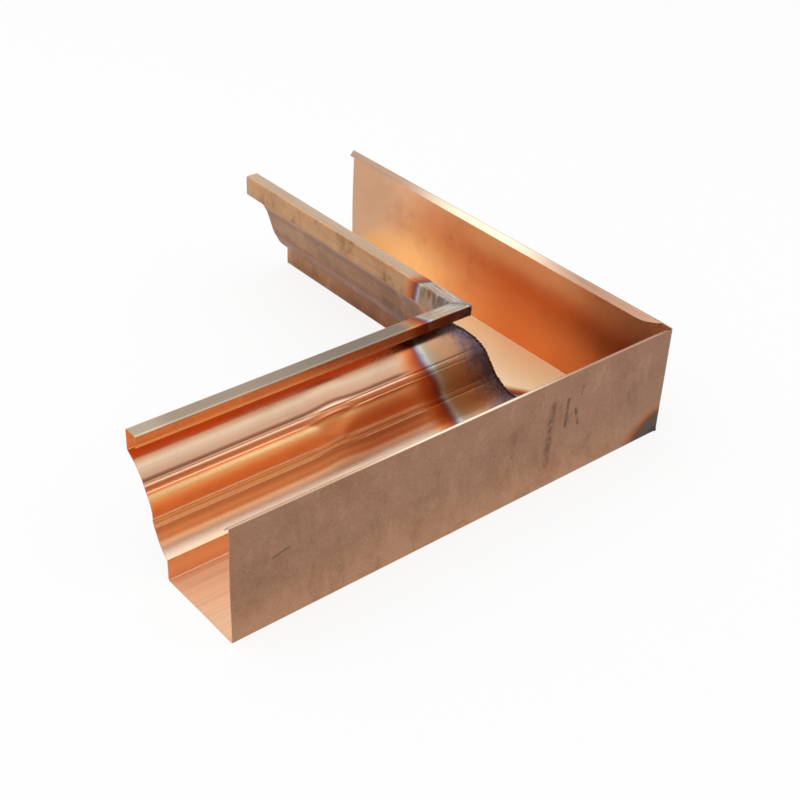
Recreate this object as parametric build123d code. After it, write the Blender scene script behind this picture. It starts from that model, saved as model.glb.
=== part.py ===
"""Inside miter for an ogee front copper gutter.

One sheet is folded upright at its back wall, and its front and bottom are welded along the mitre.
"""
from math import sqrt, tan, acos
import os
from build123d import *

# Sheet, in millimetres
SHEET = 0.7               # thickness of the copper
BEND = 1.2                # centre line radius of the folded corners
CREASE = 1.0              # centre line radius of the shallow creases in the front
SHARPEST = 0.05           # least inside radius of any fold

# Legs, measured along the outside of the back walls from the outer corner
LEG_A = 422.0
LEG_B = 412.0

# Section, outside sizes
TOP_WIDTH = 127.0         # back wall to the face of the lip
BOTTOM_WIDTH = 81.0
FRONT_HEIGHT = 105.5
BACK_DROP = 6.0           # head of the back wall below the top of the front
RISER_HEIGHT = 18.0       # upright strip between the bottom and the ogee

# Boxed lip along the front
LIP_FACE = 18.0
LIP_TOP = 12.8
LIP_RETURN = 10.0

# Belly, the lower curve of the ogee, measured out and up from the head of the riser
BELLY_CORNER_OUT = 7.3
BELLY_CORNER_UP = 5.1
BELLY_OUT = 15.2
BELLY_UP = 20.0
BELLY_RADIUS = 33.0

# Cove, the upper curve of the ogee, measured in and down from the foot of the lip
COVE_CORNER_IN = 14.0
COVE_CORNER_DOWN = 9.1
COVE_IN = 20.0
COVE_DOWN = 19.5
COVE_RADIUS = 40.0

# Narrow creased bands between the two curves and the flat panel
BAND_LOWER_OUT = 1.8
BAND_UPPER_OUT = 2.4
BAND_HEIGHT = 4.5

# Open flange folded inwards and down along the head of the back wall
FLANGE_HEAD = 1.4         # level strip along its top
FLANGE_IN = 4.2           # reach of its slope
FLANGE_DOWN = 4.8
FLANGE_BEND = 0.8         # centre line radius
RELIEF_START = 36.0       # the flange narrows from here towards the corner
RELIEF_END = 8.0          # and is gone from here
RELIEF_BULGE = 2.0        # how far the relief bows away from its chord

# Corner and seam
FOLD_INSIDE = 1.0         # inside radius of the upright fold of the back wall
SEAM_GAP = 0.6            # between the two mitred edges
BEAD_RADIUS = 1.15        # weld bead, about the middle of the sheet
BEAD_BEND = 1.7           # centre line radius of the bead where the sheet is folded or creased
CLEAR = 1.0               # how far cutting tools stand past what they cut

# Shares of a straight run that the bend at its end may use up
BEND_SHARE = 0.49
CURVE_SHARE = 0.92        # for the belly and the cove, whose neighbours are small bends

HALF = SHEET / 2
BACK_HEIGHT = FRONT_HEIGHT - BACK_DROP
LIP_FOOT = FRONT_HEIGHT - LIP_FACE
MITRE_STRETCH = sqrt(2)   # a width measured along the 45 degree mitre


def section_points():
    """Centre line of the sheet as (distance from the back, height) with a bend radius at each corner."""
    belly = (BOTTOM_WIDTH, RISER_HEIGHT)
    cove = (TOP_WIDTH, LIP_FOOT)
    low_band = (belly[0] + BELLY_OUT, belly[1] + BELLY_UP)
    high_band = (cove[0] - COVE_IN, cove[1] - COVE_DOWN)
    corners = [
        ((HALF + FLANGE_HEAD + FLANGE_IN, BACK_HEIGHT - HALF - FLANGE_DOWN), 0),
        ((HALF + FLANGE_HEAD, BACK_HEIGHT - HALF), FLANGE_BEND),
        ((HALF, BACK_HEIGHT - HALF), FLANGE_BEND),
        ((HALF, HALF), BEND),
        ((BOTTOM_WIDTH - HALF, HALF), BEND),
        ((BOTTOM_WIDTH - HALF, RISER_HEIGHT), BEND),
        ((belly[0] - HALF + BELLY_CORNER_OUT, belly[1] + BELLY_CORNER_UP), BELLY_RADIUS),
        ((low_band[0] - HALF, low_band[1]), CREASE),
        ((low_band[0] - HALF + BAND_LOWER_OUT, low_band[1] + BAND_HEIGHT), CREASE),
        ((high_band[0] - HALF - BAND_UPPER_OUT, high_band[1] - BAND_HEIGHT), CREASE),
        ((high_band[0] - HALF, high_band[1]), CREASE),
        ((cove[0] - HALF - COVE_CORNER_IN, cove[1] - COVE_CORNER_DOWN), COVE_RADIUS),
        ((TOP_WIDTH - HALF, LIP_FOOT), BEND),
        ((TOP_WIDTH - HALF, FRONT_HEIGHT - HALF), BEND),
        ((TOP_WIDTH + HALF - LIP_TOP, FRONT_HEIGHT - HALF), BEND),
        ((TOP_WIDTH + HALF - LIP_TOP, FRONT_HEIGHT - LIP_RETURN), 0),
    ]
    return corners


def unit(start, end):
    """Direction from one point to the next, and the distance between them."""
    run = (end[0] - start[0], end[1] - start[1])
    length = sqrt(run[0] ** 2 + run[1] ** 2)
    return (run[0] / length, run[1] / length), length


def turn_side(before, point, after):
    """1 where a polyline turns left at its middle point, and -1 where it turns right."""
    way_in, length_in = unit(before, point)
    way_out, length_out = unit(point, after)
    return 1 if way_in[0] * way_out[1] > way_in[1] * way_out[0] else -1


def fitted_radii(corners, stretch=1.0):
    """Corner points, stretched sideways, and each bend radius, limited by the runs beside it."""
    points = [(point[0] * stretch, point[1]) for point, radius in corners]
    radii = []
    for index in range(1, len(points) - 1):
        wanted = corners[index][1]
        back, back_length = unit(points[index], points[index - 1])
        ahead, ahead_length = unit(points[index], points[index + 1])
        turn = acos(max(-1.0, min(1.0, -(back[0] * ahead[0] + back[1] * ahead[1]))))
        share = CURVE_SHARE if wanted in (BELLY_RADIUS, COVE_RADIUS) else BEND_SHARE
        radii.append(min(wanted, share * min(back_length, ahead_length) / tan(turn / 2)))
    return points, radii


def offset_corners(points, distance):
    """Corner points of the line that runs at a distance to the left of a polyline."""
    moved = []
    for index, point in enumerate(points):
        normals = []
        if index > 0:
            way, length = unit(points[index - 1], point)
            normals.append((-way[1], way[0]))
        if index < len(points) - 1:
            way, length = unit(point, points[index + 1])
            normals.append((-way[1], way[0]))
        sum_x = sum(normal[0] for normal in normals)
        sum_y = sum(normal[1] for normal in normals)
        scale = distance * len(normals) / (sum_x ** 2 + sum_y ** 2)
        moved.append((point[0] + sum_x * scale, point[1] + sum_y * scale))
    return moved


def section_face():
    """The sheet's closed section: distance from the back wall along Y, and height along Z."""
    points, radii = fitted_radii(section_points())
    turns = [turn_side(*three) for three in zip(points, points[1:], points[2:])]
    sides = []
    for side in (1, -1):
        side_radii = [max(radius - side * HALF * turn, SHARPEST) for radius, turn in zip(radii, turns)]
        sides.append((offset_corners(points, side * HALF), side_radii))
    loop_points = sides[0][0] + sides[1][0][::-1]
    loop_radii = [0] + sides[0][1] + [0, 0] + sides[1][1][::-1] + [0]
    outline = FilletPolyline(*[(0, y, z) for y, z in loop_points], radius=loop_radii, close=True)
    return make_face(outline)


def flange_relief():
    """Space beside the corner where the flange narrows along a curve, so that the wall can fold."""
    head = BACK_HEIGHT
    start = (-RELIEF_START, 0, head - SHEET - FLANGE_DOWN)
    end = (-RELIEF_END, 0, head)
    middle = ((start[0] + end[0] - RELIEF_BULGE) / 2, 0, (start[2] + end[2] - RELIEF_BULGE) / 2)
    low = start[2] - CLEAR
    edges = [
        ThreePointArc(end, middle, start),
        Polyline(start, (start[0], 0, low), (CLEAR, 0, low), (CLEAR, 0, head + CLEAR),
                 (end[0], 0, head + CLEAR), end),
    ]
    depth = FLANGE_HEAD + FLANGE_IN + SHEET
    return Pos(0, SHEET, 0) * extrude(make_face(Curve(edges)), amount=depth, dir=(0, 1, 0))


def leg(length):
    """One leg along -X, cut at 45 degrees where it meets the other."""
    reach = length + TOP_WIDTH
    strip = extrude(Pos(-length, 0, 0) * section_face(), amount=length + CLEAR, dir=(1, 0, 0))
    keep = Polyline((CLEAR, -CLEAR, -CLEAR), (-TOP_WIDTH - CLEAR, TOP_WIDTH + CLEAR, -CLEAR),
                    (-reach, TOP_WIDTH + CLEAR, -CLEAR), (-reach, -CLEAR, -CLEAR), (CLEAR, -CLEAR, -CLEAR))
    mitred = strip & extrude(make_face(keep), amount=FRONT_HEIGHT + 2 * CLEAR, dir=(0, 0, 1))
    return mitred - flange_relief()


def across_mitre(shape):
    """Turns the leg along -X into the one along +Y."""
    return mirror(shape, about=Plane(origin=(0, 0, 0), z_dir=(1, 1, 0)))


def seam_slot():
    """The notch that lets the back wall fold: a thin slot across front and bottom, out to the corner."""
    long = TOP_WIDTH * MITRE_STRETCH
    low_height = CLEAR + BEND + SHEET
    start = (SHEET + FOLD_INSIDE) * MITRE_STRETCH
    high = Box(long, SEAM_GAP, FRONT_HEIGHT + 2 * CLEAR, align=(Align.MIN, Align.CENTER, Align.MIN))
    low = Box(long, SEAM_GAP, low_height, align=(Align.MIN, Align.CENTER, Align.MIN))
    slot = Pos(start, 0, -CLEAR) * high + Pos(-start, 0, -CLEAR) * low
    return Rot(0, 0, 135) * slot


def folded_gutter():
    """Both legs joined by the upright fold in the back wall."""
    shell = leg(LEG_A) + across_mitre(leg(LEG_B))
    fold_outside = FOLD_INSIDE + SHEET
    tall = BACK_HEIGHT + 2 * CLEAR
    corner = Box(fold_outside, fold_outside, tall, align=(Align.MAX, Align.MIN, Align.MIN))
    rounding = Pos(-fold_outside, fold_outside, 0) * Cylinder(
        fold_outside, tall, align=(Align.CENTER, Align.CENTER, Align.MIN))
    shell = shell - Pos(0, 0, -CLEAR) * (corner - rounding)
    inner_height = BACK_HEIGHT - HALF - SHEET
    fillet_block = Box(FOLD_INSIDE, FOLD_INSIDE, inner_height, align=(Align.MAX, Align.MIN, Align.MIN))
    hollow = Pos(-FOLD_INSIDE, FOLD_INSIDE, 0) * Cylinder(
        FOLD_INSIDE, inner_height, align=(Align.CENTER, Align.CENTER, Align.MIN))
    shell = shell + Pos(-SHEET, SHEET, SHEET) * (fillet_block - hollow)
    return shell - seam_slot()


def miter_weld(sheet):
    """The bead that fills the seam and stands proud of the sheet, flush with the underside."""
    wall_corners = 4      # the flange's three and the foot of the wall, where the bead starts instead
    corners = [((0, HALF), 0)] + section_points()[wall_corners:]
    eased = [(point, max(radius, BEAD_BEND)) for point, radius in corners]
    points, radii = fitted_radii(eased, stretch=MITRE_STRETCH)
    mitre = Plane(origin=(0, 0, 0), x_dir=(-1, 1, 0), z_dir=(1, 1, 0))
    path = mitre * FilletPolyline(*points, radius=radii)
    section = Plane(origin=path @ 0, z_dir=path % 0) * Circle(BEAD_RADIUS)
    bead = sweep(section, path=path)
    across, tall = TOP_WIDTH * 2, FRONT_HEIGHT * 2
    bead = bead & Box(across, across, tall, align=(Align.MAX, Align.MIN, Align.MIN))
    return bead - sheet


def place(shape):
    """Moves the outer corner so that the origin is the middle of the base that the two legs span."""
    return Pos(LEG_A / 2, -LEG_B / 2, 0) * shape


def main():
    os.makedirs("parts", exist_ok=True)
    sheet = folded_gutter()
    weld = miter_weld(sheet)
    for name, shape in (("folded_gutter", sheet), ("miter_weld", weld)):
        placed = place(shape)
        export_step(placed, f"parts/{name}.step")
        print(name, len(placed.solids()), "solids", round(placed.volume), "mm3")


main()
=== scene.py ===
"""Looks of the copper gutter inside miter: a folded sheet with a lumpy weld bead along its mitre."""

from dataclasses import dataclass
import math

import bmesh
import bpy
import numpy as np
from mathutils import Matrix, Vector, noise

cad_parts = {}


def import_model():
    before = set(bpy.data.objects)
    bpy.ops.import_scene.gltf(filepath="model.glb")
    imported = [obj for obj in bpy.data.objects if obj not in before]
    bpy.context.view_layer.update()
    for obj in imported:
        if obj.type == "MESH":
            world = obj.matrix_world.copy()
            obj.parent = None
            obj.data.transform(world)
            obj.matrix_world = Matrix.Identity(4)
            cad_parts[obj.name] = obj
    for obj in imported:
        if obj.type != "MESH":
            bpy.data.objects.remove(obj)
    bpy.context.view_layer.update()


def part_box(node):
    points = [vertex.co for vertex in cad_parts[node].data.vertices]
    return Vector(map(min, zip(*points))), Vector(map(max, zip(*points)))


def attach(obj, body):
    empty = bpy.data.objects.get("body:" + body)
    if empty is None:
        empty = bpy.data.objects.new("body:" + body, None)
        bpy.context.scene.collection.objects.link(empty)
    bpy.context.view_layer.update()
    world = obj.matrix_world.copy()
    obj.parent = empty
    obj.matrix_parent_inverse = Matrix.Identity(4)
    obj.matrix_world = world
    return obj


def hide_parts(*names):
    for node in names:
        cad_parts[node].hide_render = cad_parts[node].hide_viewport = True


MM = 0.001

# Sheet and section, in millimetres: the frame's own sizes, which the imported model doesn't name
SHEET = 0.7
HALF = SHEET / 2
BEND = 1.2
CREASE = 1.0
TOP_WIDTH = 127.0
BOTTOM_WIDTH = 81.0
BACK_HEIGHT = 99.5
RISER_HEIGHT = 18.0
LIP_FACE = 18.0
LIP_TOP = 12.8
LIP_RETURN = 10.0
BELLY_CORNER = (7.3, 5.1)
BELLY_END = (15.2, 20.0)
BELLY_RADIUS = 33.0
COVE_CORNER = (14.0, 9.1)
COVE_START = (20.0, 19.5)
COVE_RADIUS = 40.0
BAND_LOWER_OUT = 1.8
BAND_UPPER_OUT = 2.4
BAND_HEIGHT = 4.5
FLANGE_HEAD = 1.4
FLANGE_IN = 4.2
FLANGE_DOWN = 4.8
FLANGE_BEND = 0.8
FLANGE_LEFT = 0.4         # what is left of the flange's bend beside the corner
FLANGE_TAPER = 0.10       # share of the flange that is lost towards the leg's end
RELIEF_START = 36.0
RELIEF_END = 8.0
FOLD_RADIUS = 1.7
SEAM_GAP = 0.6
NOTCH_TOP = 1.9
BEAD_RADIUS = 1.05
CREASE_DEPTH = 0.16       # the rolled creases are pressed in a little
CREASE_WIDTH = 0.7

# Leg A's panel bows into the channel, with a kink across it that reaches the belly
PANEL_FOOT = 42.5
PANEL_RISE = 21.0
PANEL_BOW = 2.2
PANEL_BOW_LEAST = 0.3     # share of the bow beside the corner
PANEL_BOW_SKEW = 0.87     # below 1, the bow is deepest under the panel's middle
BOW_FROM = 215.0          # the bow grows from here, over the next distance
BOW_GROWS = 50.0
KINK_AT = 262.0
KINK_WIDTH = 13.0
KINK_RISE = 0.42          # share of the panel's height that the bow is lifted by
DENT_DEPTH = 0.5
DENT_WIDTH = 17.0
DENT_LEAN = 0.9
DENT_LEVEL = 50.0
DENTS_HEAD = 87.5         # dents in the front lie between the riser and this height
AROUND_LIFT = 1.6           # the painted light bands, and the films with them, step up across the kink
AROUND_LIFT_AT = 258.0
AROUND_LIFT_WIDTH = 16.0
DENTS_START = 25.0        # the dents grow to their full depth over this distance from the seam

# Soft dents of each wall: steady bow, slow waves and quick waves, in millimetres
BACK_DENTS = (0.7, 0.55, 0.16)
BOTTOM_DENTS = (0.35, 0.30, 0.12)
FRONT_DENTS = (0.2, 0.22, 0.10)

# The weld bead's lumps
BEAD_SIDES = 12
BEAD_STEP = 0.55
BEAD_FLAT = 0.85
BEAD_WIDE = 1.15
BEAD_WANDER = ((0.35, 0.16, 8.0), (0.50, 0.62, 3.0))    # sideways, each with its pace and seed
BEAD_SWELL = 0.42         # shares of the bead's radius
BEAD_RIPPLE = 0.09
BEAD_RIPPLE_PITCH = 3.1
BEAD_LUMP = 0.5
BEAD_PALE = (103.0, 105.0)    # heights between which the bead turns pale, on top of the lip

# How finely the sheet is meshed
ROW_STEP = 4.0
CREASE_ROWS = (0.35, 0.75, 1.2, 1.8, 2.6)    # distances from a bend at which rows follow its shape
STATION_STEP = 4.2
FOLD_STEPS = 5
SUPPORT = 0.35            # narrow strip beside each bend, so that flats stay flat in reflections
ARC_STEP = 11.0           # degrees of bend per strip
CURVE_STEPS = 14          # strips over the belly and over the cove
ARC_SHARE = 0.92          # of the shorter run beside it, for the belly's and the cove's bend
BEND_SHARE = 0.49         # and for a tight bend, so that two bends fit on one run
HARD_EDGE = 35.0          # degrees between two faces from which their edge is drawn sharp

# Part numbers round the section, from the flange's free edge to the lip's return
FLANGE, HEAD, BACK, BOTTOM, RISER, BELLY_LOW, BELLY_HIGH, BAND_LOW, PANEL, BAND_HIGH, COVE_LOW, COVE_HIGH, \
    FACE, TOP, RETURN = range(15)

# Distance from the corner, along the leg, at which the heat tint turns red, for each part
TINT_RED = {RISER: 150, BELLY_LOW: 154, BELLY_HIGH: 157, BAND_LOW: 161, PANEL: 164, BAND_HIGH: 168,
            COVE_LOW: 172, COVE_HIGH: 171, FACE: 169.5, TOP: 164, RETURN: 163}
WALL_TINT_LONG = 29.0
WALL_TINT_TALL = 19.5
BOTTOM_TINT = 60.0        # how far the tint spreads over the bottom beside the front, from the seam


def held(share):
    """A share kept between 0 and 1."""
    return min(1.0, max(0.0, share))


def frame_sizes(node):
    """Outer back corner, leg lengths and front height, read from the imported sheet."""
    low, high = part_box(node)
    corner = Vector((high.x, low.y, 0.0))
    return corner, (high.x - low.x) / MM, (high.y - low.y) / MM, high.z / MM


def section_corners(front_height):
    """Centre line of the sheet as ((distance from the back, height), bend radius)."""
    lip_foot = front_height - LIP_FACE
    low_band = (BOTTOM_WIDTH + BELLY_END[0], RISER_HEIGHT + BELLY_END[1])
    high_band = (TOP_WIDTH - COVE_START[0], lip_foot - COVE_START[1])
    return [
        ((HALF + FLANGE_HEAD + FLANGE_IN, BACK_HEIGHT - HALF - FLANGE_DOWN), 0),
        ((HALF + FLANGE_HEAD, BACK_HEIGHT - HALF), FLANGE_BEND),
        ((HALF, BACK_HEIGHT - HALF), FLANGE_BEND),
        ((HALF, HALF), BEND),
        ((BOTTOM_WIDTH - HALF, HALF), BEND),
        ((BOTTOM_WIDTH - HALF, RISER_HEIGHT), BEND),
        ((BOTTOM_WIDTH - HALF + BELLY_CORNER[0], RISER_HEIGHT + BELLY_CORNER[1]), BELLY_RADIUS),
        ((low_band[0] - HALF, low_band[1]), CREASE),
        ((low_band[0] - HALF + BAND_LOWER_OUT, low_band[1] + BAND_HEIGHT), CREASE),
        ((high_band[0] - HALF - BAND_UPPER_OUT, high_band[1] - BAND_HEIGHT), CREASE),
        ((high_band[0] - HALF, high_band[1]), CREASE),
        ((TOP_WIDTH - HALF - COVE_CORNER[0], lip_foot - COVE_CORNER[1]), COVE_RADIUS),
        ((TOP_WIDTH - HALF, lip_foot), BEND),
        ((TOP_WIDTH - HALF, front_height - HALF), BEND),
        ((TOP_WIDTH + HALF - LIP_TOP, front_height - HALF), BEND),
        ((TOP_WIDTH + HALF - LIP_TOP, front_height - LIP_RETURN), 0),
    ]


def bend_at(points, index, wanted):
    """Radius and reach of the bend at a corner, limited by the runs beside it, and its turn."""
    way = (points[index] - points[index - 1]).normalized()
    onward = (points[index + 1] - points[index]).normalized()
    turn = way.angle(onward)
    side = 1 if way.cross(onward) > 0 else -1
    room = min((points[index] - points[index - 1]).length, (points[index + 1] - points[index]).length)
    share = ARC_SHARE if wanted > 2 * BEND else BEND_SHARE
    radius = min(wanted, share * room / math.tan(turn / 2))
    return radius, radius * math.tan(turn / 2), turn * side


def turned(vector, angle):
    """A plane vector turned by an angle."""
    cos, sin = math.cos(angle), math.sin(angle)
    return Vector((vector.x * cos - vector.y * sin, vector.x * sin + vector.y * cos))


def rounded_rows(corners):
    """Rows of the sheet round the section: centre point, inward normal and part number."""
    points = [Vector(point) for point, radius in corners]
    rows = []
    start = points[0]
    for index in range(1, len(points)):
        part = index - 1
        way = (points[index] - points[index - 1]).normalized()
        normal = Vector((-way.y, way.x))
        last = index == len(points) - 1
        radius, reach, turn = (0, 0, 0) if last else bend_at(points, index, corners[index][1])
        stop = points[index] - way * reach
        run = (stop - start).length
        marks = {0.0, run}
        if run > 3 * SUPPORT:
            count = max(1, round(run / ROW_STEP))
            marks.update(np.linspace(SUPPORT, run - SUPPORT, count + 1))
        if BELLY_HIGH <= part <= COVE_LOW:
            marks.update(mark for near in CREASE_ROWS for mark in (near, run - near) if 0 < mark < run)
        marks = sorted(marks)
        rows += [(start + way * float(mark), normal, part) for mark in marks]
        if last:
            break
        centre = stop + normal * math.copysign(radius, turn)
        count = CURVE_STEPS if radius > 2 * BEND else max(4, round(abs(math.degrees(turn)) / ARC_STEP))
        for step in range(1, count):
            angle = turn * step / count
            rows.append((centre + turned(stop - centre, angle), turned(normal, angle), part))
        start = points[index] + turned(way, turn) * reach
    kept = [rows[0]]
    for row in rows[1:]:
        if (row[0] - kept[-1][0]).length > 1e-3:
            kept.append(row)
    return kept


def distances(rows):
    """Distance round the section of each row, from the flange's free edge."""
    around = [0.0]
    for before, row in zip(rows, rows[1:]):
        around.append(around[-1] + (row[0] - before[0]).length)
    return around


def flange_share(along, length):
    """Share of the flange's width that stands at a distance from the corner."""
    if along <= RELIEF_END:
        return 0.0
    ripple = 0.03 * noise.noise(Vector((along * 0.035, 3.1, 0.0)))
    full = 1.0 - FLANGE_TAPER * along / length + ripple
    left = max(0.0, 1 - (along - RELIEF_END) / (RELIEF_START - RELIEF_END))
    return full * (1 - left ** 2)


def wave(part, point, along, leg):
    """How far the sheet bows inwards at a place, in millimetres: soft dents of thin hand-folded copper."""
    seed = 7.3 if leg else 1.7
    slow = noise.noise(Vector((along * 0.009, point.y * 0.012 + point.x * 0.01, seed)))
    quick = noise.noise(Vector((along * 0.03, point.y * 0.02 + point.x * 0.02, seed + 4)))
    bow = dent = 0.0
    if part == BACK:
        share, dents = point.y / BACK_HEIGHT, BACK_DENTS
    elif part == BOTTOM:
        share, dents = point.x / BOTTOM_WIDTH, BOTTOM_DENTS
    elif BELLY_LOW <= part <= COVE_HIGH:
        share, dents = (point.y - RISER_HEIGHT) / (DENTS_HEAD - RISER_HEIGHT), FRONT_DENTS
        if part == PANEL and not leg:
            bow = panel_bow(point.y, along)
        if not leg:
            middle = KINK_AT + DENT_LEAN * (point.y - DENT_LEVEL)
            dent = DENT_DEPTH * math.exp(-((along - middle) / DENT_WIDTH) ** 2)
    else:
        return 0.0
    steady, slow_depth, quick_depth = dents
    window = math.sin(math.pi * held(share)) ** 2
    return bow + window * (steady + slow_depth * slow + quick_depth * quick + dent)


def panel_bow(height, along):
    """How far leg A's panel bows inwards, lifted across its kink."""
    kink = KINK_RISE * math.exp(-((along - KINK_AT) / KINK_WIDTH) ** 2)
    rise = held((height - PANEL_FOOT) / PANEL_RISE + kink)
    grown = PANEL_BOW_LEAST + (1 - PANEL_BOW_LEAST) * held((along - BOW_FROM) / BOW_GROWS)
    return PANEL_BOW * grown * math.sin(math.pi * rise ** PANEL_BOW_SKEW)


def crease_groove(around, creases):
    """Depth of the nearest pressed crease at a distance round the section."""
    return sum(CREASE_DEPTH * math.exp(-((around - crease) / CREASE_WIDTH) ** 2) for crease in creases)


def tint_of(part, point, along, red):
    """Heat tint coordinate: 0 at the seam, 1 where the tint turns red, more beyond it."""
    if part <= BACK:
        return ((along / WALL_TINT_LONG) ** 1.6 + (point.y / WALL_TINT_TALL) ** 1.6) ** (1 / 1.6)
    if part == BOTTOM:
        share = min(1.0, point.x / BOTTOM_WIDTH)
        reach = WALL_TINT_LONG + (BOTTOM_TINT - WALL_TINT_LONG) * share
    else:
        reach = red - point.x
    return max(0.0, along - point.x) / reach


def part_middles(rows, around):
    """Distance round the section of the middle of each part that has its own red edge of the tint."""
    middles = []
    for part in TINT_RED:
        spots = [around[k] for k, row in enumerate(rows) if row[2] == part]
        middles.append(sum(spots) / len(spots))
    return middles


def pressed_creases(rows, around):
    """Distances round the section of the four creases beside the rolled bands."""
    ends = []
    for part in (BELLY_HIGH, BAND_LOW, PANEL, BAND_HIGH):
        ends.append(max(around[k] for k, row in enumerate(rows) if row[2] == part))
    return ends


# Material slots of the sheet
WALL, FRONT, BRIGHT, BACK_IN, BOTTOM_IN, FRONT_IN, CUT = range(7)


def sheet_piece(rows, leg_a, leg_b, corner):
    """The folded sheet as one closed skin: flange, back wall, bottom, ogee and lip of both legs."""
    around = distances(rows)
    middles = part_middles(rows, around)
    creases = pressed_creases(rows, around)
    wall_start = next(around[k] for k, row in enumerate(rows) if row[2] == BACK)
    track = [[row[0].x for row in rows], [row[0].y for row in rows],
             [row[1].x for row in rows], [row[1].y for row in rows]]
    first_notched = next(k for k, row in enumerate(rows) if row[2] == BACK and row[0].y < NOTCH_TOP)
    seam = SEAM_GAP / math.sqrt(2)

    stations = [("a", step) for step in np.linspace(1, 0, round(leg_a / STATION_STEP) + 1)]
    stations += [("fold", step / FOLD_STEPS) for step in range(1, FOLD_STEPS)]
    stations += [("b", step) for step in np.linspace(0, 1, round(leg_b / STATION_STEP) + 1)]

    def place(k, kind, share, side):
        centre, normal, part = rows[k]
        notched = k >= first_notched
        leg = kind == "b"
        length = leg_b if leg else leg_a
        width = centre.x + side * HALF * normal.x
        first = width + seam if notched else FOLD_RADIUS
        along = FOLD_RADIUS * (1 - share) if kind == "fold" else first + (length - first) * share
        point, way = centre.copy(), normal.copy()
        if part in (FLANGE, HEAD):
            kept = FLANGE_LEFT + (wall_start - FLANGE_LEFT) * flange_share(along, length)
            mark = wall_start - (wall_start - around[k]) * kept / wall_start
            x, y, way_x, way_y = (float(np.interp(mark, around, values)) for values in track)
            point, way = Vector((x, y)), Vector((way_x, way_y)).normalized()
        bow = wave(part, point, along, leg) if kind != "fold" else 0.0
        bow -= crease_groove(around[k], creases)
        ease = held((along - centre.x) / DENTS_START)
        spot = point + way * (side * HALF + bow * ease)
        if kind == "fold":
            angle = share * math.pi / 2
            radius = max(0.0, FOLD_RADIUS - spot.x)
            x = -FOLD_RADIUS + radius * math.sin(angle)
            y = FOLD_RADIUS - radius * math.cos(angle)
        elif leg:
            x, y = -spot.x, along
        else:
            x, y = -along, spot.x
        red = np.interp(around[k], middles, list(TINT_RED.values()))
        tint = tint_of(part, point, along, float(red))
        return corner + Vector((x, y, spot.y)) * MM, (point.x, point.y, float(part)), along, tint

    mesh = bmesh.new()
    place_layer = mesh.verts.layers.float_vector.new("sheet_place")
    section_layer = mesh.verts.layers.float_vector.new("sheet_section")
    tint_layer = mesh.verts.layers.float.new("sheet_tint")
    skins = {}
    for side in (-1, 1):                  # outer skin, then inner skin
        grid = []
        for k in range(len(rows)):
            line = []
            for kind, share in stations:
                spot, section, along, tint = place(k, kind, float(share), side)
                vert = mesh.verts.new(spot)
                vert[section_layer] = section
                lift = 0.0
                if kind == "a":
                    lift = AROUND_LIFT * math.exp(-((along - AROUND_LIFT_AT) / AROUND_LIFT_WIDTH) ** 2)
                vert[place_layer] = (along, around[k] - lift, float(kind == "b"))
                vert[tint_layer] = tint
                line.append(vert)
            grid.append(line)
        skins[side] = grid
    last_a = sum(1 for kind, share in stations if kind == "a") - 1
    edges = skin_faces(mesh, skins, rows, first_notched, range(last_a, last_a + FOLD_STEPS))
    close_edges(mesh, skins, edges)
    bmesh.ops.delete(mesh, geom=[v for v in mesh.verts if not v.link_faces], context="VERTS")
    bmesh.ops.remove_doubles(mesh, verts=mesh.verts[:], dist=1e-6)
    bmesh.ops.dissolve_degenerate(mesh, dist=1e-7, edges=mesh.edges[:])
    bmesh.ops.recalc_face_normals(mesh, faces=mesh.faces[:])
    return finished("gutter_sheet", mesh)


def skin_faces(mesh, skins, rows, first_notched, fold):
    """Faces of both skins, without the notch below the fold, and every edge that one face has alone."""
    edges = {}
    for k in range(len(rows) - 1):
        for j in range(len(skins[1][k]) - 1):
            if k + 1 >= first_notched and j in fold:
                continue
            ring = [(k, j), (k, j + 1), (k + 1, j + 1), (k + 1, j)]
            outer = mesh.faces.new([skins[-1][a][b] for a, b in ring])
            inner = mesh.faces.new([skins[1][a][b] for a, b in reversed(ring)])
            part = rows[k + 1][2]
            outer.material_index = WALL if part in (BACK, BOTTOM) else FRONT
            if part in (FLANGE, HEAD, TOP, RETURN):
                outer.material_index = BRIGHT
            inner.material_index = {BACK: BACK_IN, BOTTOM: BOTTOM_IN}.get(part, FRONT_IN)
            for first, second in zip(ring, ring[1:] + ring[:1]):
                key = frozenset((first, second))
                if key in edges:
                    del edges[key]
                else:
                    edges[key] = (first, second)
    return edges.values()


def close_edges(mesh, skins, edges):
    """Cut faces of the sheet's thickness, from skin to skin."""
    for (a, b), (c, d) in edges:
        cut = mesh.faces.new([skins[-1][c][d], skins[-1][a][b], skins[1][a][b], skins[1][c][d]])
        cut.material_index = CUT


def finished(name, mesh):
    """A mesh object with smooth faces and hard edges only where two faces meet at a real corner."""
    hard = math.radians(HARD_EDGE)
    for face in mesh.faces:
        face.smooth = True
    for edge in mesh.edges:
        if len(edge.link_faces) != 2 or edge.calc_face_angle(0.0) > hard:
            edge.smooth = False
    data = bpy.data.meshes.new(name)
    mesh.to_mesh(data)
    mesh.free()
    piece = bpy.data.objects.new(name, data)
    bpy.context.scene.collection.objects.link(piece)
    return piece


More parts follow.
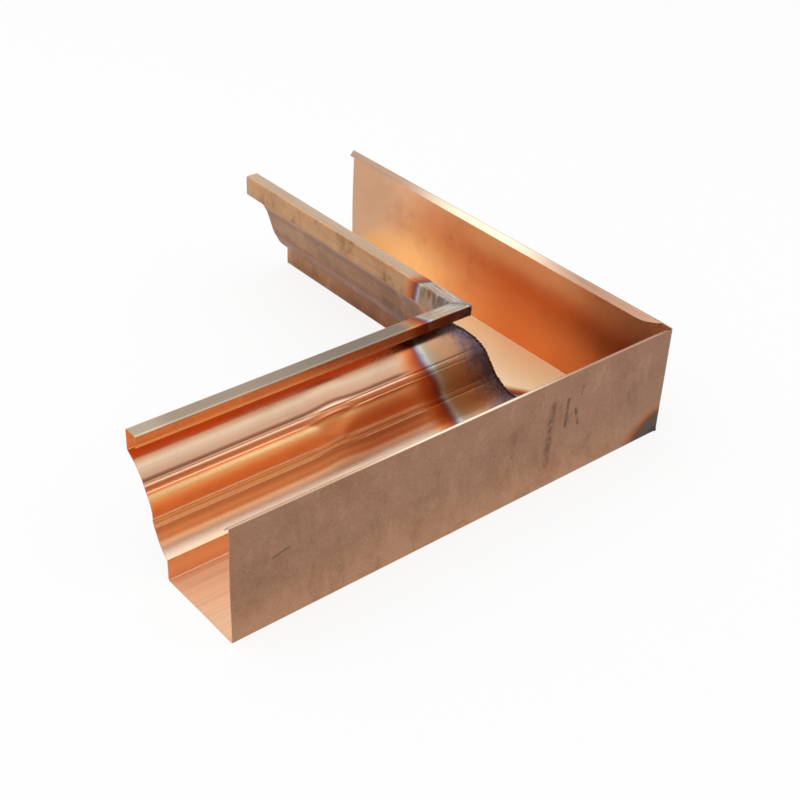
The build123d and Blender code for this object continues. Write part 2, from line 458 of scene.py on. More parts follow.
def weld_piece(rows, corner, top):
    """Lumpy bead along the seam, from the outer bottom corner to the lip's return, no higher than top."""
    track = [(Vector((0.2, HALF)), Vector((0, 1)))]
    track += [(row[0], row[1]) for row in rows if row[2] >= BOTTOM]
    stretched = [Vector((point.x * math.sqrt(2), point.y)) for point, normal in track]
    marks = [0.0]
    for before, point in zip(stretched, stretched[1:]):
        marks.append(marks[-1] + (point - before).length)
    across = Vector((1, 1, 0)).normalized()
    mesh = bmesh.new()
    rings = []
    total = marks[-1]
    count = round(total / BEAD_STEP)
    wide = [point.x for point, normal in track]
    high = [point.y for point, normal in track]
    lean = [normal.x for point, normal in track]
    rise = [normal.y for point, normal in track]
    for index in range(count + 1):
        mark = total * index / count
        w, z, nw, nz = (float(np.interp(mark, marks, values)) for values in (wide, high, lean, rise))
        wander = sum(far * noise.noise(Vector((mark * pace, seed, 0.0))) for far, pace, seed in BEAD_WANDER)
        centre = Vector((-w, w, z)) + across * wander
        up = Vector((-nw, nw, nz)).normalized()
        swell = 1 + BEAD_SWELL * noise.noise(Vector((mark * 0.45, 0.5, 2.0)))
        drift = 2 * noise.noise(Vector((mark * 0.1, 1.0, 0.0)))
        swell += BEAD_RIPPLE * math.sin(mark * 2 * math.pi / BEAD_RIPPLE_PITCH + drift)
        ring = []
        for turn in range(BEAD_SIDES):
            angle = 2 * math.pi * turn / BEAD_SIDES
            cos, sin = math.cos(angle), math.sin(angle)
            lump = 1 + BEAD_LUMP * noise.noise(Vector((mark * 0.7, cos * 1.4, sin * 1.4)))
            radius = BEAD_RADIUS * swell * lump
            spot = centre + up * cos * radius * BEAD_FLAT + across * sin * radius * BEAD_WIDE
            spot = Vector((min(spot.x, 0.0), max(spot.y, 0.0), min(max(spot.z, 0.0), top)))
            ring.append(mesh.verts.new(corner + spot * MM))
        rings.append(ring)
    for before, ring in zip(rings, rings[1:]):
        for a in range(BEAD_SIDES):
            b = (a + 1) % BEAD_SIDES
            mesh.faces.new([before[a], before[b], ring[b], ring[a]])
    mesh.faces.new(rings[0][::-1])
    mesh.faces.new(rings[-1])
    bmesh.ops.remove_doubles(mesh, verts=mesh.verts[:], dist=1e-7)
    bmesh.ops.recalc_face_normals(mesh, faces=mesh.faces[:])
    return finished("weld_bead", mesh)


class Nodes:
    """Builds one material's node tree."""

    def __init__(self, name):
        self.material = bpy.data.materials.new(name)
        self.material.use_nodes = True
        self.tree = self.material.node_tree
        self.tree.nodes.clear()
        output = self.tree.nodes.new("ShaderNodeOutputMaterial")
        self.shader = self.tree.nodes.new("ShaderNodeBsdfPrincipled")
        self.tree.links.new(self.shader.outputs[0], output.inputs["Surface"])

    def put(self, socket, value):
        """Links a socket to another, or sets it to a number or colour."""
        if isinstance(value, bpy.types.NodeSocket):
            self.tree.links.new(value, socket)
        elif hasattr(value, "__len__") and len(value) == 3 and socket.type == "RGBA":
            socket.default_value = (*value, 1.0)
        else:
            socket.default_value = value

    def math(self, operation, a, b=0.0, c=0.0, clamp=False):
        node = self.tree.nodes.new("ShaderNodeMath")
        node.operation = operation
        node.use_clamp = clamp
        for socket, value in zip(node.inputs, (a, b, c)):
            self.put(socket, value)
        return node.outputs[0]

    def ramp(self, value, low, high, start=0.0, end=1.0):
        """Value from low to high, smoothly turned into start to end."""
        node = self.tree.nodes.new("ShaderNodeMapRange")
        node.interpolation_type = "SMOOTHSTEP"
        for name, setting in (("Value", value), ("From Min", low), ("From Max", high),
                              ("To Min", start), ("To Max", end)):
            self.put(node.inputs[name], setting)
        return node.outputs[0]

    def mix(self, share, a, b, blend="MIX"):
        node = self.tree.nodes.new("ShaderNodeMix")
        node.data_type = "RGBA"
        node.blend_type = blend
        node.clamp_factor = True
        self.put(node.inputs[0], share)
        self.put(node.inputs[6], a)
        self.put(node.inputs[7], b)
        return node.outputs[2]

    def colours(self, value, stops):
        """Colour of a value from 0 to 1, between stops of 8 bit display colours."""
        node = self.tree.nodes.new("ShaderNodeValToRGB")
        elements = node.color_ramp.elements
        while len(elements) > 1:
            elements.remove(elements[-1])
        for index, (position, colour) in enumerate(stops):
            element = elements[0] if index == 0 else elements.new(position)
            element.position = position
            element.color = (*srgb(*colour), 1.0)
        self.put(node.inputs[0], value)
        return node.outputs[0]

    def attribute(self, name):
        node = self.tree.nodes.new("ShaderNodeAttribute")
        node.attribute_name = name
        return node

    def split(self, vector):
        node = self.tree.nodes.new("ShaderNodeSeparateXYZ")
        self.put(node.inputs[0], vector)
        return node.outputs

    def join(self, x, y, z=0.0):
        node = self.tree.nodes.new("ShaderNodeCombineXYZ")
        for socket, value in zip(node.inputs, (x, y, z)):
            self.put(socket, value)
        return node.outputs[0]

    def noise(self, vector, scale, detail=3.0, roughness=0.55, distortion=0.0):
        node = self.tree.nodes.new("ShaderNodeTexNoise")
        self.put(node.inputs["Vector"], vector)
        node.inputs["Scale"].default_value = scale
        node.inputs["Detail"].default_value = detail
        node.inputs["Roughness"].default_value = roughness
        node.inputs["Distortion"].default_value = distortion
        return node.outputs[0]

    def near(self, along, level, start, end, width):
        """1 on a straight mark between two places on a wall, falling to 0 at its half width."""
        run = (end[0] - start[0], end[1] - start[1])
        square = run[0] ** 2 + run[1] ** 2
        from_x = self.math("SUBTRACT", along, start[0])
        from_z = self.math("SUBTRACT", level, start[1])
        share = self.math("ADD", self.math("MULTIPLY", from_x, run[0] / square),
                          self.math("MULTIPLY", from_z, run[1] / square), clamp=True)
        off_x = self.math("SUBTRACT", from_x, self.math("MULTIPLY", share, run[0]))
        off_z = self.math("SUBTRACT", from_z, self.math("MULTIPLY", share, run[1]))
        square_off = self.math("MULTIPLY_ADD", off_x, off_x, self.math("MULTIPLY", off_z, off_z))
        return self.ramp(self.math("SQRT", square_off), 0.2 * width, width, 1.0, 0.0)

    def bump(self, height, strength, distance):
        node = self.tree.nodes.new("ShaderNodeBump")
        node.inputs["Strength"].default_value = strength
        node.inputs["Distance"].default_value = distance
        self.put(node.inputs["Height"], height)
        return node.outputs[0]


def srgb(red, green, blue):
    """Linear colour of an 8 bit display colour."""
    def linear(value):
        value /= 255
        return value / 12.92 if value <= 0.04045 else ((value + 0.055) / 1.055) ** 2.4
    return tuple(linear(value) for value in (red, green, blue))


# Colours of the heat tint from the seam outwards, as shares of its red edge
TINT_STOPS = [
    (0.00, (98, 86, 92)),
    (0.14, (104, 90, 98)),
    (0.26, (140, 112, 102)),
    (0.40, (160, 120, 94)),
    (0.55, (166, 124, 94)),
    (0.72, (160, 130, 102)),
    (0.80, (158, 140, 116)),
    (0.86, (164, 170, 162)),
    (0.90, (142, 136, 150)),
    (0.94, (122, 84, 92)),
    (0.98, (138, 64, 46)),
    (1.04, (164, 82, 46)),
    (1.14, (188, 110, 62)),
    (1.25, (202, 136, 84)),
    (1.40, (214, 162, 114)),
]
SCORCH_STOPS = [
    (0.00, (84, 70, 62)),
    (0.88, (88, 74, 66)),
    (1.00, (96, 66, 50)),
    (1.14, (136, 78, 46)),
    (1.34, (162, 104, 70)),
    (1.70, (162, 120, 96)),
]

# Film on each part of the sheet, as its own colour, with painted shade and painted light where marked
OUTSIDE_LOOK = {BACK: (158, 118, 94), BOTTOM: (176, 132, 106)}
# the outside's lower belly is painted dark: painted shade, as it faces down
FRONT_LOOK = {RISER: (148, 92, 60), BELLY_LOW: (116, 66, 36), BELLY_HIGH: (138, 82, 46),
              BAND_LOW: (142, 88, 52), PANEL: (156, 106, 68), BAND_HIGH: (140, 90, 52),
              COVE_LOW: (182, 124, 78), COVE_HIGH: (188, 138, 92), FACE: (206, 158, 116)}
BRIGHT_LOOK = {FLANGE: (158, 124, 102), HEAD: (168, 132, 110), BACK: (158, 124, 102),
               COVE_HIGH: (188, 164, 140), TOP: (196, 170, 142), RETURN: (240, 176, 128)}
# the inside bottom's near-white colour is its copper paled with painted light from above
INSIDE_LOOK = {BACK: (228, 174, 134), BOTTOM: (250, 240, 206), RISER: (240, 180, 140)}

# Film up the inside of the front, by height, with painted light: painted highlights on the rolled creases,
# between bands of painted reflection and painted shade
FRONT_PAINTED_BANDS = [
    # riser and the foot of the belly
    (17.0, (240, 182, 142)),
    (19.0, (204, 174, 150)),
    (22.5, (186, 160, 140)),
    # belly, with two painted highlight bands
    (24.5, (212, 186, 166)),
    (27.0, (242, 218, 196)),
    (29.5, (222, 160, 120)),
    (32.0, (232, 178, 142)),
    (34.5, (204, 148, 114)),
    (37.0, (200, 138, 94)),
    # lower rolled band, between painted highlights on its two creases
    (39.0, (255, 246, 226)),
    (40.6, (220, 168, 118)),
    (42.4, (224, 172, 122)),
    (43.8, (255, 250, 240)),
    # panel, with a painted highlight towards its head
    (45.4, (240, 170, 118)),
    (50.0, (240, 168, 118)),
    (55.0, (252, 186, 136)),
    (59.5, (255, 238, 188)),
    (61.2, (232, 168, 108)),
    # upper rolled band, between painted highlights on its two creases
    (62.5, (192, 108, 58)),
    (63.6, (255, 204, 170)),
    (64.7, (214, 138, 92)),
    (65.9, (186, 116, 74)),
    (67.1, (190, 136, 102)),
    (68.2, (255, 232, 208)),
    (69.0, (232, 190, 160)),
    # cove, with painted shade at its foot and below the lip, and the foot of the lip
    (69.8, (124, 78, 58)),
    (71.2, (128, 82, 62)),
    (72.6, (186, 144, 116)),
    (79.0, (188, 162, 138)),
    (82.2, (160, 118, 88)),
    (84.0, (250, 184, 130)),
    (87.0, (252, 190, 138)),
]


def film_stops(rows, look):
    """Colour stops over the whole length of the section, from the colours of parts or of heights."""
    around = distances(rows)
    total = around[-1]
    if look is FRONT_PAINTED_BANDS:
        marks = [(row[0].y, around[k]) for k, row in enumerate(rows) if RISER <= row[2] <= COVE_HIGH]
        heights, places = zip(*marks)
        return [(float(np.interp(height, heights, places)) / total, colour) for height, colour in look]
    stops = []
    for part, colour in look.items():
        spots = [around[k] for k, row in enumerate(rows) if row[2] == part]
        edge = min(0.003 * total, 0.2 * (max(spots) - min(spots)))
        stops += [((min(spots) + edge) / total, colour), ((max(spots) - edge) / total, colour)]
    return stops


@dataclass
class Finish:
    """How one face of the sheet looks."""

    name: str
    film_and_light: object              # colours by part, or the painted light bands by height
    tint: list                # colours of the heat tint
    roughness: float
    smudge: float             # share of the blotches and the mottling
    streaks: float            # share of the rolling streaks
    marks: object = None      # adds what only this face has, painted light and shade among it
    tint_marks: object = None    # and to its tint
    duller_a: float = 0.0     # roughness that is added on each leg
    duller_b: float = 0.0
    metallic: float = 1.0


class Place:
    """Where a point of the sheet lies, as the sockets that films and marks read."""

    def __init__(self, n):
        self.along, self.around, self.leg_b = n.split(n.attribute("sheet_place").outputs["Vector"])
        self.wide, self.level, self.part = n.split(n.attribute("sheet_section").outputs["Vector"])
        self.tint = n.attribute("sheet_tint").outputs["Fac"]
        self.leg_a = n.math("SUBTRACT", 1.0, self.leg_b)
        self.coordinates = n.tree.nodes.new("ShaderNodeTexCoord").outputs["Object"]
        self.lengthways = n.join(n.math("MULTIPLY", self.along, 0.006),
                                 n.math("MULTIPLY", self.around, 0.30), self.leg_b)
        self.streak = n.noise(self.lengthways, 1.0, 4.0, 0.6)


def copper(finish, rows):
    """Copper sheet with its films and painted light, smudges, rolling streaks and heat tint beside the
    seam.
    """
    n = Nodes(finish.name)
    at = Place(n)
    blotch = n.noise(at.coordinates, 18.0, 5.0, 0.62)
    grain = n.noise(at.coordinates, 900.0, 2.0)
    base = film_light_and_blotches(n, at, finish, rows, blotch)
    if finish.marks:
        base = finish.marks(n, at, base)
    rough = n.math("ADD", finish.roughness, n.math("MULTIPLY", n.ramp(blotch, 0.4, 0.7), 0.06))
    for on_leg, duller in ((at.leg_a, finish.duller_a), (at.leg_b, finish.duller_b)):
        if duller:
            rough = n.math("ADD", rough, n.math("MULTIPLY", on_leg, duller))

    ragged = n.math("SUBTRACT", n.noise(at.coordinates, 60.0, 4.0), 0.5)
    near_seam = n.ramp(at.tint, 0.2, 1.0, 0.45, 0.12)
    heat = n.math("ADD", at.tint, n.math("MULTIPLY", ragged, near_seam))
    scales = n.noise(at.coordinates, 240.0, 4.0, 0.7, 0.6)
    crust = n.ramp(heat, 0.12, 0.55, 1.0, 0.0)
    tinted = heat_tint(n, at, finish.tint, heat, scales, crust)
    if finish.tint_marks:
        tinted = finish.tint_marks(n, at, tinted, heat)
    reach = finish.tint[-1][0]
    fade = n.ramp(at.tint, 0.78 * reach, reach, 1.0, 0.0)
    n.put(n.shader.inputs["Base Color"], n.mix(fade, base, tinted))
    n.shader.inputs["Metallic"].default_value = finish.metallic
    n.put(n.shader.inputs["Roughness"], n.math("ADD", rough, n.math("MULTIPLY", crust, 0.25)))
    height = n.math("ADD", n.math("MULTIPLY", grain, 0.4), n.math("MULTIPLY", at.streak, finish.streaks))
    height = n.math("ADD", height, n.math("MULTIPLY", n.math("MULTIPLY", scales, crust), 2.5))
    n.put(n.shader.inputs["Normal"], n.bump(height, 0.12, 0.0004))
    return n.material


def film_light_and_blotches(n, at, finish, rows, blotch):
    """Colour of each part, from its films and any painted light bands, with blotches, mottling and streaks
    that darken or lighten it.
    """
    mottle = n.noise(at.coordinates, 75.0, 4.0, 0.62)
    film_and_light = n.colours(n.math("DIVIDE", at.around, distances(rows)[-1]), film_stops(rows, finish.film_and_light))
    darker = n.mix(1.0, film_and_light, (0.56, 0.50, 0.46), "MULTIPLY")
    lighter = n.mix(0.40, film_and_light, (0.80, 0.66, 0.52))
    base = n.mix(n.math("MULTIPLY", n.ramp(blotch, 0.50, 0.72), finish.smudge), film_and_light, darker)
    base = n.mix(n.math("MULTIPLY", n.ramp(mottle, 0.52, 0.70), 0.5 * finish.smudge), base, darker)
    base = n.mix(n.math("MULTIPLY", n.ramp(mottle, 0.46, 0.28), 0.4 * finish.smudge), base, lighter)
    base = n.mix(n.ramp(at.streak, 0.46, 0.72, 0.0, finish.streaks), base, darker)
    return n.mix(n.ramp(at.streak, 0.44, 0.26, 0.0, finish.streaks), base, lighter)


def heat_tint(n, at, stops, heat, scales, crust):
    """Bands of heat tint, with dark and pale scale at the seam and ash on top of the lip."""
    reach = stops[-1][0]
    shares = [(stop / reach, colour) for stop, colour in stops]
    tinted = n.colours(n.math("DIVIDE", heat, reach, clamp=True), shares)
    dark_scale = n.math("MULTIPLY", crust, n.ramp(scales, 0.48, 0.60, 0.0, 0.5))
    pale_scale = n.math("MULTIPLY", crust, n.ramp(scales, 0.42, 0.34, 0.0, 0.3))
    tinted = n.mix(dark_scale, tinted, srgb(50, 38, 42))
    tinted = n.mix(pale_scale, tinted, srgb(150, 138, 140))
    on_lip = n.math("COMPARE", at.part, (FACE + TOP) / 2, 0.6)
    ash = n.math("MULTIPLY", on_lip, n.ramp(heat, 0.3, 0.75, 0.8, 0.0))
    ash = n.math("MULTIPLY", ash, n.ramp(scales, 0.75, 0.35, 0.2, 1.0))
    return n.mix(ash, tinted, srgb(170, 158, 148))


def on_part(n, at, part, reach=0.1):
    """1 on one part of the section, and 0 elsewhere."""
    return n.math("COMPARE", at.part, part, reach)


def lip_tint(n, at, tinted, heat):
    """The lip's return is duller near the seam, and its top is brushed pale there."""
    tinted = n.mix(n.math("MULTIPLY", on_part(n, at, RETURN), 0.7), tinted, srgb(108, 58, 38))
    brushed = n.ramp(n.noise(at.lengthways, 4.0, 3.0, 0.7), 0.45, 0.58)
    brushed = n.math("MULTIPLY", brushed, n.ramp(heat, 1.0, 0.7, 0.0, 0.7))
    brushed = n.math("MULTIPLY", brushed, on_part(n, at, TOP))
    return n.mix(brushed, tinted, srgb(214, 208, 198))


def face_rings(n, at, tinted, heat):
    """Brown rings across the face of leg B's lip, inside its tint."""
    across = n.join(n.math("MULTIPLY", at.along, 0.12), n.math("MULTIPLY", at.around, 0.03), 6.0)
    rings = n.ramp(n.noise(across, 1.0, 2.0), 0.40, 0.60)
    rings = n.math("MULTIPLY", rings, n.ramp(heat, 0.84, 0.74, 0.0, 0.7))
    on_face = n.math("MULTIPLY", on_part(n, at, FACE), at.leg_b)
    return n.mix(n.math("MULTIPLY", on_face, rings), tinted, srgb(92, 72, 52))


def bottom_film_and_light(n, at, base):
    """Leg A's bottom is duller with painted highlight streaks; leg B's is painted paler beside its wall, as
    painted light.
    """
    # painted highlight streaks on leg A's bottom
    painted_sheen = n.ramp(at.streak, 0.40, 0.58, 0.0, 0.5)
    dull = n.mix(painted_sheen, srgb(204, 154, 124), srgb(222, 184, 154))
    base = n.mix(n.math("MULTIPLY", at.leg_a, 0.8), base, dull)
    # painted light: leg B's bottom is paler beside its wall
    foot = n.math("MULTIPLY", at.leg_b, n.ramp(at.wide, 50.0, 15.0))
    return n.mix(foot, base, srgb(255, 244, 202))


def back_wall_film_and_light(n, at, base):
    """Leg A's wall is painted brighter away from the corner, as painted light for the panel to reflect; leg
    B's is lighter at its foot and head, darker at its open end, has a painted sheen, and is redder with
    painted reflection and darker with painted shade towards the corner.
    """
    # painted light: leg A's inner wall is painted near white, so that the panel reflects it as a highlight
    painted_bright = n.math("ADD", n.ramp(at.along, 150.0, 240.0), n.ramp(at.along, 125.0, 90.0))
    base = n.mix(n.math("MULTIPLY", at.leg_a, painted_bright), base, srgb(255, 226, 188))
    foot = n.math("MULTIPLY", n.ramp(at.along, 240.0, 310.0), n.ramp(at.level, 62.0, 25.0, 0.0, 0.4))
    head = n.math("MULTIPLY", n.ramp(at.along, 80.0, 150.0), n.ramp(at.level, 62.0, 92.0, 0.0, 0.5))
    end = n.ramp(at.along, 300.0, 390.0, 0.0, 0.85)
    # painted sheen along the upper part of leg B's wall
    painted_sheen = n.math("MULTIPLY", n.ramp(at.along, 70.0, 120.0), n.ramp(at.along, 260.0, 210.0))
    painted_sheen = n.math("MULTIPLY", painted_sheen, n.ramp(at.level, 60.0, 80.0, 0.0, 0.6))
    # painted reflection and painted shade in the corner of leg B's wall
    red = n.math("MULTIPLY", n.ramp(at.along, 330.0, 170.0), n.ramp(at.level, 95.0, 55.0, 0.0, 0.95))
    dark = n.math("MULTIPLY", n.ramp(at.along, 150.0, 50.0), n.ramp(at.level, 75.0, 50.0, 0.0, 0.6))
    for share, colour in (
        (foot, (255, 214, 172)),
        (head, (250, 202, 158)),
        (end, (202, 156, 122)),
        (painted_sheen, (255, 226, 184)),
        (red, (198, 104, 54)),
        (dark, (140, 74, 40)),
    ):
        base = n.mix(n.math("MULTIPLY", at.leg_b, share), base, srgb(*colour))
    return base


def flange_sheen_and_lip(n, at, base):
    """The flange has a painted highlight along the middle of the leg and is paler towards the leg's end,
    and the return is dull towards the seam.
    """
    on_flange = on_part(n, at, (FLANGE + HEAD) / 2, 0.9)
    flange_paler = n.math("MULTIPLY", on_flange, n.ramp(at.along, 120.0, 400.0, 0.0, 0.35))
    base = n.mix(flange_paler, base, srgb(206, 176, 152))
    # painted highlight along the middle of the flange
    bright = n.math("MULTIPLY", n.ramp(at.along, 90.0, 200.0), n.ramp(at.along, 345.0, 250.0))
    base = n.mix(n.math("MULTIPLY", on_flange, bright), base, srgb(226, 208, 184))
    on_return = on_part(n, at, RETURN)
    free_edge = n.math("MULTIPLY", on_return, n.ramp(at.level, 98.6, 97.2, 0.0, 0.8))
    base = n.mix(free_edge, base, srgb(255, 226, 192))
    dull = n.math("MULTIPLY", on_return, n.ramp(at.along, 290.0, 170.0, 0.0, 0.7))
    base = n.mix(dull, base, srgb(120, 66, 42))
    on_top = n.math("MULTIPLY", on_part(n, at, TOP), at.leg_a)
    base = n.mix(n.math("MULTIPLY", on_top, 0.7), base, srgb(142, 130, 116))
    darker = n.math("MULTIPLY", on_top, n.ramp(at.along, 340.0, 220.0, 0.0, 0.6))
    base = n.mix(darker, base, srgb(110, 100, 90))
    paler = n.math("MULTIPLY", on_top, n.ramp(at.along, 385.0, 410.0, 0.0, 0.4))
    return n.mix(paler, base, srgb(206, 188, 166))


def front_stains_and_shade(n, at, base):
    """Crossways smears, a painted shadow line below the lip, painted shade towards the foot, and tones that
    differ by height.
    """
    across = n.join(n.math("MULTIPLY", at.along, 0.04), n.math("MULTIPLY", at.around, 0.02), 4.0)
    smear = n.noise(across, 1.0, 4.0, 0.65)
    pale = n.mix(0.3, base, srgb(206, 162, 120))
    dull = n.mix(0.20, base, srgb(118, 76, 50))
    base = n.mix(n.ramp(at.along, 400.0, 200.0), pale, dull)
    base = n.mix(n.ramp(smear, 0.50, 0.70, 0.0, 0.55), base, srgb(112, 72, 46))
    base = n.mix(n.ramp(smear, 0.45, 0.30, 0.0, 0.45), base, srgb(212, 168, 128))
    # painted shadow below the lip
    shadow = n.ramp(n.math("ABSOLUTE", n.math("SUBTRACT", at.level, 65.0)), 1.5, 6.0, 0.3, 0.0)
    base = n.mix(shadow, base, srgb(92, 58, 40))
    belly = n.ramp(n.math("ABSOLUTE", n.math("SUBTRACT", at.level, 34.0)), 5.0, 13.0, 1.0, 0.0)
    base = n.mix(belly, base, (0.95, 0.72, 0.48), "MULTIPLY")
    # painted shade towards the foot of the front
    base = n.mix(n.ramp(at.level, 15.0, 3.0, 0.3, 0.9), base, (0.72, 0.68, 0.60), "MULTIPLY")
    cove = n.math("MULTIPLY", n.ramp(at.level, 63.0, 68.0), n.ramp(at.level, 87.0, 83.0))
    base = n.mix(cove, base, (1.0, 0.80, 0.55), "MULTIPLY")
    green = n.ramp(n.noise(at.coordinates, 30.0, 5.0, 0.65), 0.56, 0.70, 0.0, 0.4)
    return n.mix(green, base, srgb(94, 78, 46))


# Stains on the outside of leg A's back wall: ends as (distance from the corner, height), width and strength
WALL_STAINS = [
    ((129.5, 76.6), (131.5, 22.4), 5.0, 0.55),
    ((131.8, 62.0), (129.2, 45.0), 2.2, 0.50),
    ((113.4, 75.8), (113.8, 51.3), 2.6, 0.75),
    ((104.3, 63.8), (99.4, 48.1), 2.2, 0.90),
    ((98.6, 82.4), (99.2, 74.9), 1.8, 0.60),
    ((168.9, 66.0), (168.4, 46.0), 5.0, 0.18),
    ((40.0, 58.0), (38.0, 45.0), 8.0, 0.22),
]
WALL_NICK = ((387.4, 57.8), (375.6, 61.0), 1.5, 0.75)


def wall_marks(n, at, base):
    """Smudges, scratches and a nick on the outside of leg A's back wall, lighter towards its foot."""
    on_wall = n.math("MULTIPLY", on_part(n, at, BACK), at.leg_a)
    foot = n.math("MULTIPLY", on_wall, n.ramp(at.level, 0.0, 45.0, 0.55, 0.0))
    base = n.mix(foot, base, srgb(194, 146, 110))
    near_corner = n.math("MULTIPLY", on_wall, n.ramp(at.along, 120.0, 20.0, 0.0, 0.30))
    base = n.mix(near_corner, base, srgb(132, 98, 78))
    across = n.join(n.math("MULTIPLY", at.along, 0.055), n.math("MULTIPLY", at.level, 0.020), 2.0)
    smear = n.noise(across, 1.0, 5.0, 0.72)
    base = n.mix(n.ramp(smear, 0.52, 0.74, 0.0, 0.45), base, srgb(116, 80, 58))
    base = n.mix(n.ramp(smear, 0.48, 0.30, 0.0, 0.35), base, srgb(194, 148, 116))
    cloud = n.noise(at.coordinates, 26.0, 5.0, 0.7)
    base = n.mix(n.ramp(cloud, 0.48, 0.68, 0.0, 0.40), base, srgb(136, 92, 64))
    speckle = n.noise(at.coordinates, 640.0, 3.0, 0.75)
    base = n.mix(n.ramp(speckle, 0.52, 0.75, 0.0, 0.35), base, srgb(112, 80, 62))
    base = n.mix(n.ramp(speckle, 0.48, 0.30, 0.0, 0.30), base, srgb(196, 154, 124))
    broken = n.ramp(n.noise(at.coordinates, 150.0, 4.0, 0.7), 0.36, 0.56, 0.25, 1.0)
    for start, end, width, strength in WALL_STAINS:
        mark = n.math("MULTIPLY", n.near(at.along, at.level, start, end, width), on_wall)
        mark = n.math("MULTIPLY", mark, broken)
        base = n.mix(n.math("MULTIPLY", mark, strength), base, srgb(88, 58, 44))
    start, end, width, strength = WALL_NICK
    mark = n.math("MULTIPLY", n.near(at.along, at.level, start, end, width), on_wall)
    return n.mix(n.math("MULTIPLY", mark, strength), base, srgb(104, 88, 44))


# The sheet's faces in the order of their material slots
FINISHES = (
    Finish("copper_outside", OUTSIDE_LOOK, SCORCH_STOPS, 0.42, 0.22, 0.06, wall_marks),
    Finish("copper_front", FRONT_LOOK, TINT_STOPS, 0.38, 0.75, 0.25, front_stains_and_shade, face_rings),
    Finish("copper_bright", BRIGHT_LOOK, TINT_STOPS, 0.26, 0.20, 0.45, flange_sheen_and_lip, lip_tint),
    Finish("copper_back_inside", INSIDE_LOOK, TINT_STOPS, 0.32, 0.55, 0.05, back_wall_film_and_light, duller_a=0.3),
    Finish("copper_bottom_inside", INSIDE_LOOK, TINT_STOPS, 0.46, 0.10, 0.10, bottom_film_and_light,
           duller_b=0.12, metallic=0.85),
    Finish("copper_front_inside", FRONT_PAINTED_BANDS, TINT_STOPS, 0.22, 0.14, 0.14),
)


def cut_edge():
    """Sheared edge of the sheet, bright and slightly rough."""
    n = Nodes("sheared_edge")
    coordinates = n.tree.nodes.new("ShaderNodeTexCoord").outputs["Object"]
    burr = n.noise(coordinates, 1400.0, 3.0)
    n.put(n.shader.inputs["Base Color"], n.mix(burr, srgb(214, 160, 120), srgb(150, 96, 66)))
    n.shader.inputs["Metallic"].default_value = 1.0
    n.put(n.shader.inputs["Roughness"], n.ramp(burr, 0.3, 0.7, 0.32, 0.5))
    n.put(n.shader.inputs["Normal"], n.bump(burr, 0.3, 0.0002))
    return n.material


def weld_metal():
    """Burnt weld metal with dark oxide and a few brighter crests."""
    n = Nodes("weld_metal")
    coordinates = n.tree.nodes.new("ShaderNodeTexCoord").outputs["Object"]
    crust = n.noise(coordinates, 420.0, 4.0, 0.65)
    patch = n.noise(coordinates, 120.0, 3.0)
    base = n.mix(n.ramp(crust, 0.35, 0.7), srgb(46, 36, 38), srgb(104, 80, 74))
    base = n.mix(n.ramp(patch, 0.55, 0.75), base, srgb(88, 86, 108))
    height = n.split(coordinates)[2]
    pale = n.ramp(height, BEAD_PALE[0] * MM, BEAD_PALE[1] * MM, 0.0, 0.9)
    base = n.mix(pale, base, srgb(150, 138, 130))
    n.put(n.shader.inputs["Base Color"], base)
    n.shader.inputs["Metallic"].default_value = 0.8
    n.put(n.shader.inputs["Roughness"], n.ramp(crust, 0.3, 0.7, 0.5, 0.75))
    n.put(n.shader.inputs["Normal"], n.bump(crust, 0.5, 0.0004))
    return n.material


def seen_directly(tree):
    """1 for rays from the camera, from a reflection or through glass, and 0 for the light itself."""
    path = tree.nodes.new("ShaderNodeLightPath")
    seen = path.outputs["Is Camera Ray"]
    for ray in ("Is Glossy Ray", "Is Transmission Ray"):
        largest = tree.nodes.new("ShaderNodeMath")
        largest.operation = "MAXIMUM"
        tree.links.new(seen, largest.inputs[0])
        tree.links.new(path.outputs[ray], largest.inputs[1])
        seen = largest.outputs[0]
    return seen


def backdrop_shader(name, white, share):
    """Pale surface that camera, reflections and refractions see mostly as plain white."""
    material = bpy.data.materials.new(name)
    material.use_nodes = True
    tree = material.node_tree
    tree.nodes.clear()
    output = tree.nodes.new("ShaderNodeOutputMaterial")
    diffuse = tree.nodes.new("ShaderNodeBsdfDiffuse")
    diffuse.inputs["Color"].default_value = (0.9, 0.9, 0.9, 1.0)
    glow = tree.nodes.new("ShaderNodeEmission")
    glow.inputs["Color"].default_value = (1.0, 1.0, 1.0, 1.0)
    glow.inputs["Strength"].default_value = white
    glowing = tree.nodes.new("ShaderNodeMath")
    glowing.operation = "MULTIPLY"
    glowing.inputs[1].default_value = share
    tree.links.new(seen_directly(tree), glowing.inputs[0])
    mix = tree.nodes.new("ShaderNodeMixShader")
    tree.links.new(glowing.outputs[0], mix.inputs[0])
    tree.links.new(diffuse.outputs[0], mix.inputs[1])
    tree.links.new(glow.outputs[0], mix.inputs[2])
    tree.links.new(mix.outputs[0], output.inputs["Surface"])
    return material


# Studio, in metres and watts
FLOOR_SIZE = 40.0
FLOOR_WHITE = 1.06        # glow of the floor where it is seen directly
FLOOR_GLOW_SHARE = 0.8    # the rest of the floor's look keeps the shadow
WORLD_LIGHT = 0.55        # strength of the world as a light
WORLD_SEEN = 1.0          # and where it is seen directly
ZENITH_SEEN = 1.7         # brighter overhead, for the faces that mirror the ceiling
ZENITH_FROM = 0.55
ZENITH_TO = 0.95
LAMPS = (
    # name, place, size, power
    ("key", (-0.9, 0.5, 1.9), 2.2, 14.0),
    ("fill", (1.3, -1.2, 1.5), 2.2, 6.0),
)


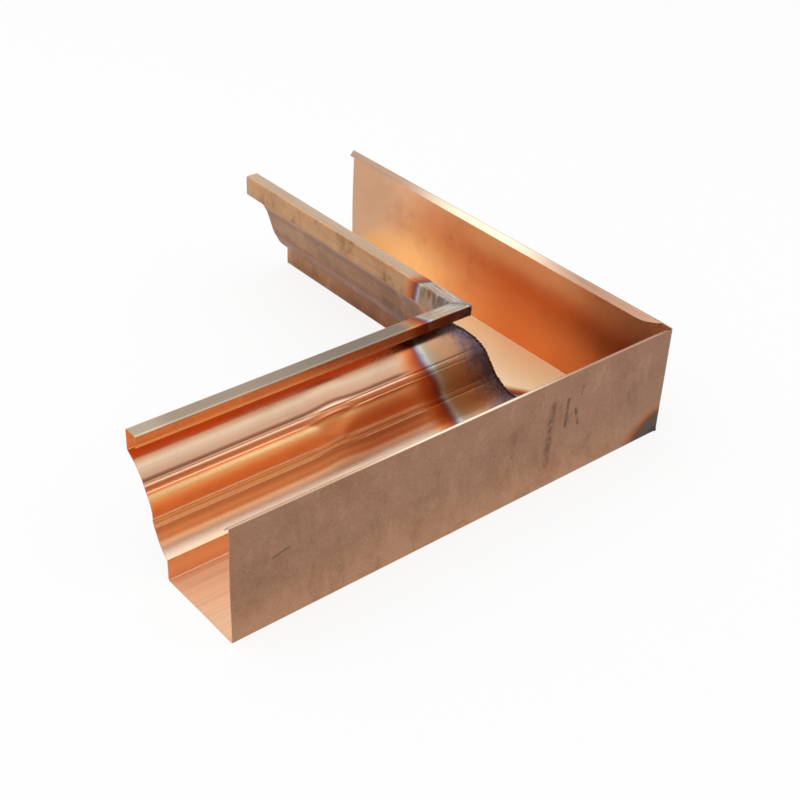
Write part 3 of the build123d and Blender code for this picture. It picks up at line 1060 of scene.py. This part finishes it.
def white_world():
    """White all round, brighter overhead where it is seen directly, and dimmer as a light."""
    world = bpy.data.worlds.new("studio")
    bpy.context.scene.world = world
    world.use_nodes = True
    tree = world.node_tree
    background = tree.nodes["Background"]
    direction = tree.nodes.new("ShaderNodeSeparateXYZ")
    tree.links.new(tree.nodes.new("ShaderNodeTexCoord").outputs["Generated"], direction.inputs[0])
    overhead = tree.nodes.new("ShaderNodeMapRange")
    overhead.interpolation_type = "SMOOTHSTEP"
    overhead.inputs["From Min"].default_value = ZENITH_FROM
    overhead.inputs["From Max"].default_value = ZENITH_TO
    overhead.inputs["To Min"].default_value = WORLD_SEEN
    overhead.inputs["To Max"].default_value = ZENITH_SEEN
    tree.links.new(direction.outputs["Z"], overhead.inputs["Value"])
    strength = tree.nodes.new("ShaderNodeMapRange")
    strength.inputs["To Min"].default_value = WORLD_LIGHT
    tree.links.new(seen_directly(tree), strength.inputs["Value"])
    tree.links.new(overhead.outputs[0], strength.inputs["To Max"])
    tree.links.new(strength.outputs[0], background.inputs["Strength"])
    background.inputs["Color"].default_value = (1.0, 1.0, 1.0, 1.0)


def studio():
    """Pale floor, white world and soft lamps."""
    bpy.ops.mesh.primitive_plane_add(size=FLOOR_SIZE)
    floor = bpy.context.object
    floor.name = "floor"
    floor.data.materials.append(backdrop_shader("floor_white", FLOOR_WHITE, FLOOR_GLOW_SHARE))
    white_world()
    for name, place, size, power in LAMPS:
        lamp = bpy.data.lights.new(name, "AREA")
        lamp.size = size
        lamp.energy = power
        holder = bpy.data.objects.new(name, lamp)
        holder.location = place
        holder.rotation_euler = (-Vector(place)).to_track_quat("-Z", "Y").to_euler()
        bpy.context.scene.collection.objects.link(holder)


# Camera at the photograph's viewing angle: places in millimetres, roll in degrees
EYE = (-592.58, -805.13, 676.80)
LOOKED_AT = (66.77, -45.20, 0.0)      # on the floor, in the middle of the picture
ROLL = 2.743
LENS = 64.3
SENSOR = 36.0


def photo_camera():
    """Camera at the photograph's place."""
    eye = Vector(EYE) * MM
    look = Vector(LOOKED_AT) * MM - eye
    turn = look.to_track_quat("-Z", "Y").to_matrix().to_4x4()
    data = bpy.data.cameras.new("camera")
    data.lens = LENS
    data.sensor_width = SENSOR
    camera = bpy.data.objects.new("camera", data)
    camera.matrix_world = Matrix.Translation(eye) @ turn @ Matrix.Rotation(math.radians(ROLL), 4, "Z")
    bpy.context.scene.collection.objects.link(camera)
    bpy.context.scene.camera = camera


def main():
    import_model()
    corner, leg_a, leg_b, front_height = frame_sizes("folded_gutter")
    rows = rounded_rows(section_corners(front_height))

    sheet = sheet_piece(rows, leg_a, leg_b, corner)
    for finish in FINISHES:
        sheet.data.materials.append(copper(finish, rows))
    sheet.data.materials.append(cut_edge())
    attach(sheet, "root")
    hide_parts("folded_gutter")

    weld = weld_piece(rows, corner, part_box("miter_weld")[1].z / MM)
    weld.data.materials.append(weld_metal())
    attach(weld, "root")
    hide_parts("miter_weld")

    studio()
    photo_camera()
    bpy.context.scene.view_settings.view_transform = "Standard"
    bpy.context.scene.cycles.max_bounces = 12
    bpy.context.scene.cycles.glossy_bounces = 10


main()
